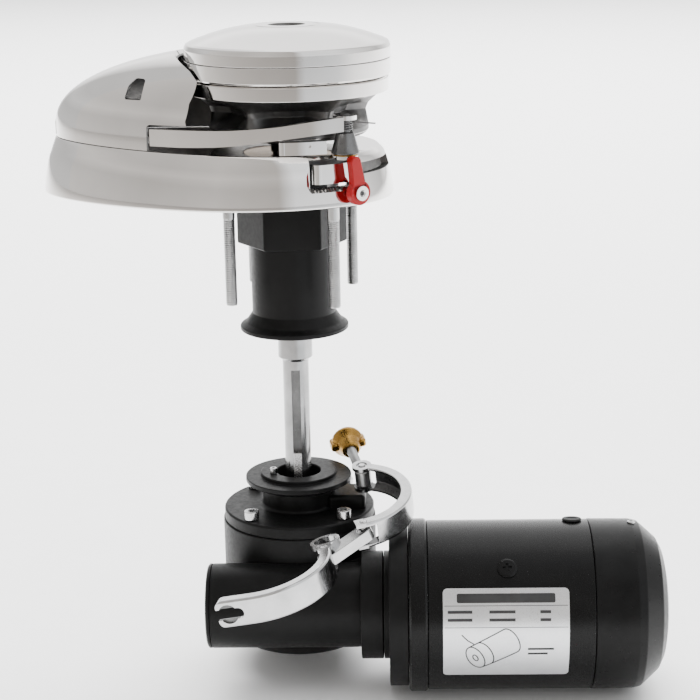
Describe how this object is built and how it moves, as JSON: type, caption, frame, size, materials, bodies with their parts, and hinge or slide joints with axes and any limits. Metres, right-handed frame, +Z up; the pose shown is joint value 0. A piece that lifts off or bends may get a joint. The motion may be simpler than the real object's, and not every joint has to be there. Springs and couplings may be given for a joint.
{
  "type": "anchor windlass",
  "caption": "Vertical anchor windlass: chromed egg-shaped base with a chain hood, horizontal gypsy under a round cap, keyed shaft, worm gearbox with clamp, and a side motor.",
  "frame": {"origin": "on the main shaft axis, in the plane of the deck (the underside of the base)", "axes": "+Z up along the main shaft; the hood and the pointed end of the base face -X, the blunt end faces +X, the pawl lever and control arm are on the -Y side"},
  "size_m": [0.4302, 0.2276, 0.4453],
  "materials": {
    "chrome": "polished chrome plating on the casting",
    "steel": "machined and polished stainless steel",
    "cast_black": "satin black coating on a casting",
    "motor_paint": "semi-gloss black paint on steel",
    "black_plastic": "matt black moulded plastic",
    "rubber": "matt black rubber",
    "red_plastic": "bright red moulded plastic",
    "brass": "bare brass, slightly dull",
    "bronze": "machined bronze",
    "copper": "machined copper",
    "magnet": "dark grey ferrite",
    "label_plate": "brushed aluminium plate with blank printed panels"
  },
  "bodies": {
    "deck_unit": {"base_casting": "chrome", "hood": "chrome", "deck_tube": "cast_black", "stud_1": "steel", "stud_2": "steel", "stud_3": "steel", "stud_4": "steel", "upper_bearing": "steel", "lower_bearing": "steel", "shaft_seal": "rubber", "arm_post": "steel", "arm_washer": "brass", "arm_spring": "steel", "pawl_plate": "chrome"},
    "drive_shaft": {"main_shaft": "steel", "drive_key": "steel", "lower_clutch_cone": "bronze", "upper_clutch_cone": "bronze", "shaft_circlip": "steel"},
    "gypsy": {"gypsy": "chrome"},
    "clutch_cap": {"clutch_nut": "chrome", "cap_cover": "chrome"},
    "pawl_slider": {"pawl_slider": "chrome"},
    "pawl_lever": {"pawl_lever": "red_plastic", "lever_screw": "steel"},
    "control_arm": {"control_arm": "chrome"},
    "gearbox_unit": {"gearbox_cover": "cast_black", "gearbox_housing": "cast_black", "cover_screw_1": "steel", "cover_screw_2": "steel", "cover_screw_3": "steel", "cover_screw_4": "steel", "wheel_top_bearing": "steel", "wheel_bottom_bearing": "steel", "worm_end_cover": "cast_black", "worm_bearing_rear": "steel", "worm_bearing_front": "steel", "motor_adapter": "cast_black", "motor_bell": "motor_paint", "motor_can": "motor_paint", "motor_end_cap": "black_plastic", "field_magnet_1": "magnet", "field_magnet_2": "magnet", "brush_holder": "black_plastic", "nameplate": "label_plate", "pole_screw": "steel", "cable_grommet": "rubber"},
    "worm_wheel": {"worm_wheel": "bronze"},
    "motor_rotor": {"worm_shaft": "steel", "armature": "steel", "commutator": "copper"},
    "clamp_link": {"clamp_link": "steel", "link_pin_right": "steel", "link_pin_left": "steel"},
    "jaw_right": {"clamp_jaw_right": "steel", "bolt_pin": "steel"},
    "jaw_left": {"clamp_jaw_left": "steel"},
    "swing_bolt": {"swing_bolt": "steel"},
    "wing_nut": {"wing_nut": "brass"}
  },
  "joints": [
    {"name": "shaft_spin", "type": "hinge", "parent": "deck_unit", "child": "drive_shaft", "pos_m": [0, 0, 0], "axis": [0, 0, 1], "continuous": true},
    {"name": "gypsy_spin", "type": "hinge", "parent": "drive_shaft", "child": "gypsy", "pos_m": [0, 0, 0.06], "axis": [0, 0, 1], "continuous": true},
    {"name": "clutch_turn", "type": "hinge", "parent": "drive_shaft", "child": "clutch_cap", "pos_m": [0, 0, 0.09], "axis": [0, 0, 1], "range_deg": [0, 180]},
    {"name": "lever_turn", "type": "hinge", "parent": "deck_unit", "child": "pawl_lever", "pos_m": [0.0549, -0.0512, 0.01], "axis": [-0.7314, 0.682, 0], "range_deg": [0, 45]},
    {"name": "pawl_turn", "type": "hinge", "parent": "deck_unit", "child": "pawl_slider", "pos_m": [0, 0, 0.021], "axis": [0, 0, 1], "range_deg": [0, 6]},
    {"name": "arm_swing", "type": "hinge", "parent": "deck_unit", "child": "control_arm", "pos_m": [0.0455, -0.0445, 0.0505], "axis": [0, 0, 1], "range_deg": [0, 25]},
    {"name": "gearbox_slide", "type": "slide", "parent": "deck_unit", "child": "gearbox_unit", "axis": [0, 0, 1], "range_m": [0, 0.1055]},
    {"name": "wheel_spin", "type": "hinge", "parent": "gearbox_unit", "child": "worm_wheel", "pos_m": [0, 0, -0.275], "axis": [0, 0, 1], "continuous": true},
    {"name": "motor_spin", "type": "hinge", "parent": "gearbox_unit", "child": "motor_rotor", "pos_m": [0.00818, -0.0554, -0.275], "axis": [0.9893, 0.1461, 0], "continuous": true},
    {"name": "clamp_off", "type": "slide", "parent": "gearbox_unit", "child": "clamp_link", "axis": [0.1574, -0.8925, 0.4226], "range_m": [0, 0.12]},
    {"name": "jaw_right_open", "type": "hinge", "parent": "clamp_link", "child": "jaw_right", "pos_m": [0.05942, -0.07746, -0.21221], "axis": [-0.0594, -0.1871, 0.9805], "range_deg": [-25, 0]},
    {"name": "jaw_left_open", "type": "hinge", "parent": "clamp_link", "child": "jaw_left", "pos_m": [0.03714, -0.09374, -0.22482], "axis": [-0.2387, -0.0685, 0.9687], "range_deg": [0, 25]},
    {"name": "bolt_swing", "type": "hinge", "parent": "jaw_right", "child": "swing_bolt", "pos_m": [0.04638, -0.0035, -0.19889], "axis": [-0.0594, -0.1871, 0.9805], "range_deg": [-40, 0]},
    {"name": "nut_turn", "type": "hinge", "parent": "swing_bolt", "child": "wing_nut", "pos_m": [0.04638, -0.0035, -0.19889], "axis": [-0.3597, 0.9203, 0.1538], "continuous": true}
  ],
  "couplings": [
    {"joint": "shaft_spin", "follows": "motor_spin", "ratio": -0.033333},
    {"joint": "wheel_spin", "follows": "motor_spin", "ratio": -0.033333},
    {"joint": "pawl_turn", "follows": "lever_turn", "ratio": 0.13333}
  ]
}
